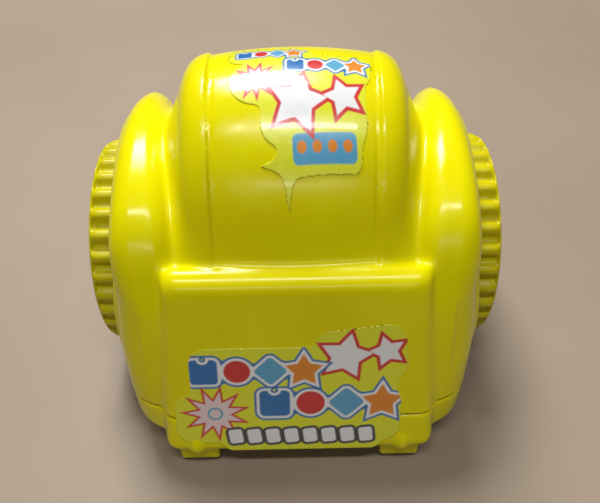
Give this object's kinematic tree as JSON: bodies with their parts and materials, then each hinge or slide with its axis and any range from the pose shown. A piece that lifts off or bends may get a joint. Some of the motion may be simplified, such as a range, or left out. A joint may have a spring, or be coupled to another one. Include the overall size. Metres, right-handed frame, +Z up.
{
  "type": "pull back car",
  "caption": "Small yellow plastic pull back toy car with bulging fenders, large ribbed drive wheels and a wind-up gear motor inside.",
  "frame": {"origin": "middle of the footprint, on the surface the car stands on", "axes": "+X to the car's right, +Y towards the nose, +Z up"},
  "size_m": [0.0624, 0.068, 0.052],
  "materials": {
    "body_plastic": "glossy moulded lemon yellow plastic",
    "wheel_plastic": "moulded lemon yellow plastic, slightly duller than the shell",
    "housing_plastic": "off-white moulded plastic",
    "gear_plastic": "natural nylon",
    "steel": "bright drawn steel rod",
    "spring_steel": "blued spring strip",
    "screw_steel": "zinc plated steel",
    "label_print": "thin printed vinyl label"
  },
  "bodies": {
    "car_body": {"body_shell": "body_plastic", "chassis": "body_plastic", "motor_housing_left": "housing_plastic", "motor_housing_right": "housing_plastic", "mainspring": "spring_steel", "second_gear_pin": "steel", "first_gear_pin": "steel", "body_screw_1": "screw_steel", "body_screw_2": "screw_steel", "body_screw_3": "screw_steel", "body_screw_4": "screw_steel", "motor_screw_1": "screw_steel", "motor_screw_2": "screw_steel", "motor_screw_3": "screw_steel", "motor_screw_4": "screw_steel", "roof_label": "label_print", "tail_label": "label_print"},
    "rear_axle_set": {"rear_axle": "steel", "rear_wheel_left": "wheel_plastic", "rear_wheel_right": "wheel_plastic", "axle_spacer_left": "gear_plastic", "axle_spacer_right": "gear_plastic", "axle_pinion": "gear_plastic"},
    "second_gear_set": {"second_gear": "gear_plastic"},
    "first_gear_set": {"first_gear": "gear_plastic"},
    "spring_gear_set": {"spring_gear": "gear_plastic", "spring_arbor": "steel"},
    "front_axle_set": {"front_axle": "steel", "front_wheel_left": "wheel_plastic", "front_wheel_right": "wheel_plastic"}
  },
  "joints": [
    {"name": "rear_axle_spin", "type": "hinge", "parent": "car_body", "child": "rear_axle_set", "pos_m": [0, 0.0008, 0.017], "axis": [1, 0, 0], "continuous": true},
    {"name": "second_gear_spin", "type": "hinge", "parent": "car_body", "child": "second_gear_set", "pos_m": [0, 0.00846, 0.02343], "axis": [1, 0, 0], "continuous": true},
    {"name": "first_gear_spin", "type": "hinge", "parent": "car_body", "child": "first_gear_set", "pos_m": [0, 0.00118, 0.02953], "axis": [1, 0, 0], "continuous": true},
    {"name": "spring_gear_spin", "type": "hinge", "parent": "car_body", "child": "spring_gear_set", "pos_m": [0, -0.00924, 0.02467], "axis": [1, 0, 0], "continuous": true},
    {"name": "front_axle_spin", "type": "hinge", "parent": "car_body", "child": "front_axle_set", "pos_m": [0, 0.025, 0.0075], "axis": [1, 0, 0], "continuous": true}
  ],
  "couplings": [
    {"joint": "second_gear_spin", "follows": "rear_axle_spin", "ratio": -0.42857},
    {"joint": "first_gear_spin", "follows": "rear_axle_spin", "ratio": 0.15306},
    {"joint": "spring_gear_spin", "follows": "rear_axle_spin", "ratio": -0.042517}
  ]
}
